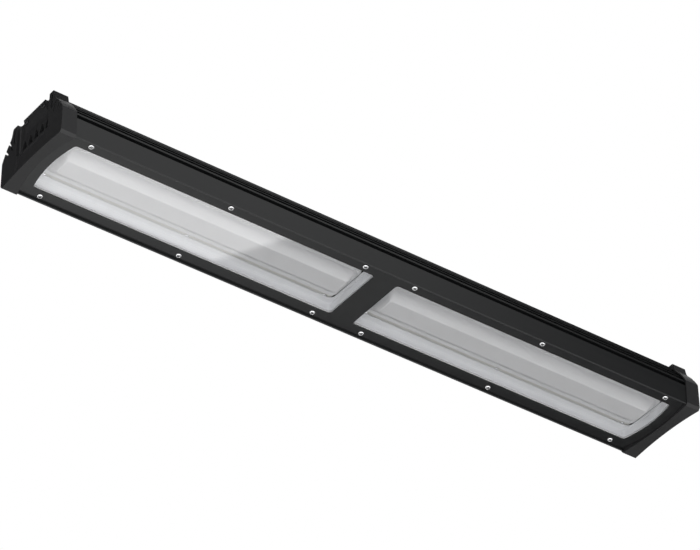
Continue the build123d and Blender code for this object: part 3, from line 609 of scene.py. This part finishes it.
@dataclass(frozen=True)
class PanelLamp:
    """A soft box, in metres, whose face shines with the given radiance, where 1 renders as white.

    The radiance falls to nothing over the share fade of the width and height at each border.
    """

    name: str
    centre: tuple[float, float, float]
    facing: tuple[float, float, float]
    across: tuple[float, float, float]
    width: float
    height: float
    radiance: float
    fade: float = 0.12

    def build(self) -> None:
        """Makes the lamp, which the camera doesn't see. Its power is radiance times pi times its area."""
        data = bpy.data.lights.new(self.name, "AREA")
        data.shape = "RECTANGLE"
        data.size, data.size_y = self.width, self.height
        data.energy = self.radiance * math.pi * self.width * self.height
        data.use_nodes = True
        tree = data.node_tree
        tree.nodes.clear()
        place = add_node(tree, "ShaderNodeTexCoord").outputs["UV"]
        split = add_node(tree, "ShaderNodeSeparateXYZ", {0: place})
        inward = [add_node(tree, "ShaderNodeMath", {0: split.outputs[axis], 1: 0.5},
                           operation="SUBTRACT").outputs[0] for axis in (0, 1)]
        level = soft_border(tree, inward, (self.fade, self.fade))
        light = add_node(tree, "ShaderNodeEmission", {"Strength": level})
        add_node(tree, "ShaderNodeOutputLight", {"Surface": light.outputs[0]})
        lamp = bpy.data.objects.new(self.name, data)
        bpy.context.scene.collection.objects.link(lamp)
        back = -Vector(self.facing).normalized()
        side = Vector(self.across)
        side = (side - back * side.dot(back)).normalized()
        turn = Matrix((side, back.cross(side), back)).transposed()
        lamp.matrix_world = Matrix.Translation(self.centre) @ turn.to_4x4()
        lamp.visible_camera = False
        log.info("lamp %s", self.name)


@dataclass(frozen=True)
class DarkCard:
    """A black card, in metres, that the polished faces mirror in place of the white studio.

    It fades out towards each border, over the share fade_across of its width and fade_up of its height, so
    its edge mirrors softly.
    """

    name: str
    centre: tuple[float, float, float]
    across: tuple[float, float, float]
    up: tuple[float, float, float]
    width: float
    height: float
    fade_across: float = 0.12
    fade_up: float = 0.12
    shade: str = "#0c0c0c"

    def build(self) -> None:
        """Makes the card, which the camera doesn't see."""
        across, up = Vector(self.across).normalized(), Vector(self.up).normalized()
        corners = [Vector(self.centre) + across * (u * self.width / 2) + up * (v * self.height / 2)
                   for u, v in ((-1, -1), (1, -1), (1, 1), (-1, 1))]
        card = mesh_object(self.name, np.array(corners), np.array([[0, 1, 2, 3]]))
        card.data.materials.append(self.material(across, up))
        card.visible_camera = False

    def material(self, across: Vector, up: Vector) -> bpy.types.Material:
        """Builds the card's black, clear towards its borders.

        Args:
            across: the card's width, as a unit vector.
            up: its height, as a unit vector.

        Returns:
            The new material.
        """
        made = empty_material(self.name)
        tree = made.node_tree
        place = add_node(tree, "ShaderNodeTexCoord").outputs["Object"]
        from_centre = add_node(tree, "ShaderNodeVectorMath", {0: place, 1: self.centre}, operation="SUBTRACT")
        spans = [add_node(tree, "ShaderNodeVectorMath", {0: from_centre.outputs[0], 1: axis / size},
                          operation="DOT_PRODUCT").outputs["Value"]
                 for axis, size in ((across, self.width), (up, self.height))]
        cover = soft_border(tree, spans, (self.fade_across, self.fade_up))
        clear = add_node(tree, "ShaderNodeBsdfTransparent")
        black = add_node(tree, "ShaderNodeBsdfDiffuse", {"Color": linear(self.shade)})
        mix = add_node(tree, "ShaderNodeMixShader", {0: cover, 1: clear.outputs[0], 2: black.outputs[0]})
        add_node(tree, "ShaderNodeOutputMaterial", {"Surface": mix.outputs[0]})
        return made


@dataclass
class Studio:
    """Floor, world, lamps, dark cards and camera, all in metres.

    ambient is the even light that the world gives to matt surfaces, and floor_lift how much the floor glows
    where it is seen or mirrored, so that its paint comes out nearly white.
    """

    ambient: float = 0.66
    floor_z: float = -6.0
    floor_reach: float = 20.0
    floor_points: int = 5
    floor_lift: float = 0.75
    lamps: tuple[PanelLamp, ...] = (
        PanelLamp("key_low_near", (-0.15, -1.65, -1.5), (0.03, 0.7, 0.66), (1.0, 0.0, 0.0), 3.9, 2.0, 1.68),
        PanelLamp("fill_low_left", (-2.5, -1.1, -1.4), (2.5, 1.1, 1.4), (1.1, -2.5, 0.0), 2.0, 1.6, 2.3),
    )
    cards: tuple[DarkCard, ...] = (
        DarkCard("card_low_far", (3.266, 3.117, -1.92), (0.878, 0.479, 0.0), (-0.479, 0.878, 0.0), 4.6, 5.2,
                 fade_across=0.006),
        DarkCard("card_high_near", (3.9, -2.1, 2.0), (1.0, 0.0, 0.0), (0.0, 0.7, 0.7), 4.6, 3.6,
                 fade_across=0.08),
        DarkCard("card_left_far", (-1.5, 1.45, 1.3), (0.7, 0.6, 0.0), (0.4, -0.4, 0.8), 2.6, 2.6),
        DarkCard("card_above", (0.2, -0.6, 2.4), (1.0, 0.0, 0.0), (0.0, 1.0, 0.0), 4.6, 2.4),
    )
    camera_place: tuple[float, float, float] = (-1.87335, -2.51905, -2.3935)
    camera_right: tuple[float, float, float] = (0.8099, -0.5865, -0.0111)
    camera_down: tuple[float, float, float] = (0.3519, 0.5010, -0.7907)
    focal_px: float = 3986.77
    nearest: float = 0.1
    farthest: float = 60.0

    def build(self) -> None:
        """Makes the whole studio."""
        self.world()
        self.floor()
        for item in (*self.lamps, *self.cards):
            item.build()
        self.camera()
        bpy.context.scene.view_settings.view_transform = "Standard"

    def world(self) -> None:
        """White to the camera and to what mirrors or passes light, and an even pale light otherwise."""
        world = bpy.data.worlds.new("studio")
        bpy.context.scene.world = world
        world.use_nodes = True
        tree = world.node_tree
        tree.nodes.clear()
        strength = self.seen_as_white(tree, self.ambient)
        light = add_node(tree, "ShaderNodeBackground", {"Color": (1, 1, 1, 1), "Strength": strength})
        add_node(tree, "ShaderNodeOutputWorld", {"Surface": light.outputs[0]})

    def seen_as_white(self, tree: bpy.types.NodeTree, otherwise: float) -> bpy.types.NodeSocket:
        """Gives 1 to camera, glossy and transmission rays.

        Args:
            tree: the tree to add to.
            otherwise: what other rays get.

        Returns:
            The value's socket.
        """
        ray = add_node(tree, "ShaderNodeLightPath").outputs
        pair = add_node(tree, "ShaderNodeMath", {0: ray["Is Camera Ray"], 1: ray["Is Glossy Ray"]},
                        operation="MAXIMUM")
        any_ray = add_node(tree, "ShaderNodeMath", {0: pair.outputs[0], 1: ray["Is Transmission Ray"]},
                           operation="MAXIMUM")
        return add_node(tree, "ShaderNodeMapRange", {0: any_ray.outputs[0], 3: otherwise, 4: 1.0}).outputs[0]

    def floor(self) -> None:
        """A wide pale floor six metres below, as under a fixture that hangs from a hall's ceiling."""
        span = np.linspace(-self.floor_reach, self.floor_reach, self.floor_points)
        x, y = np.meshgrid(span, span)
        points = np.stack([x, y, np.full_like(x, self.floor_z)], axis=-1)
        quads = grid_quads(self.floor_points, self.floor_points, closed=False)
        floor = mesh_object("studio_floor", points.reshape(-1, 3), quads)
        paint = FLOOR_PAINT.material()
        tree = paint.node_tree
        end = next(node for node in tree.nodes if node.bl_idname == "ShaderNodeOutputMaterial")
        surface = end.inputs["Surface"].links[0].from_socket
        level = add_node(tree, "ShaderNodeMath", {0: self.seen_as_white(tree, 0.0), 1: self.floor_lift},
                         operation="MULTIPLY")
        lift = add_node(tree, "ShaderNodeEmission", {"Strength": level.outputs[0]})
        both = add_node(tree, "ShaderNodeAddShader", {0: surface, 1: lift.outputs[0]})
        tree.links.new(both.outputs[0], end.inputs["Surface"])
        floor.data.materials.append(paint)

    def camera(self) -> None:
        """Places the camera where the photograph's stood: below, in front and to the left, with no shift."""
        data = bpy.data.cameras.new("photo_camera")
        data.sensor_width = SENSOR_WIDTH_MM
        data.lens = self.focal_px * SENSOR_WIDTH_MM / IMAGE_WIDTH_PX
        data.clip_start, data.clip_end = self.nearest, self.farthest
        data.dof.use_dof = False
        right, up = Vector(self.camera_right).normalized(), -Vector(self.camera_down)
        back = right.cross(up).normalized()
        up = back.cross(right)
        turn = Matrix((right, up, back)).transposed()
        camera = bpy.data.objects.new("photo_camera", data)
        camera.matrix_world = Matrix.Translation(self.camera_place) @ turn.to_4x4()
        bpy.context.scene.collection.objects.link(camera)
        bpy.context.scene.camera = camera


def main() -> None:
    """Dresses the nodes, adds the detailed pieces and sets up the studio."""
    dressing = Dressing()
    dressing.nodes()
    ScrewSets().build(dressing)
    Studio().build()


if __name__ == "__main__":
    main()
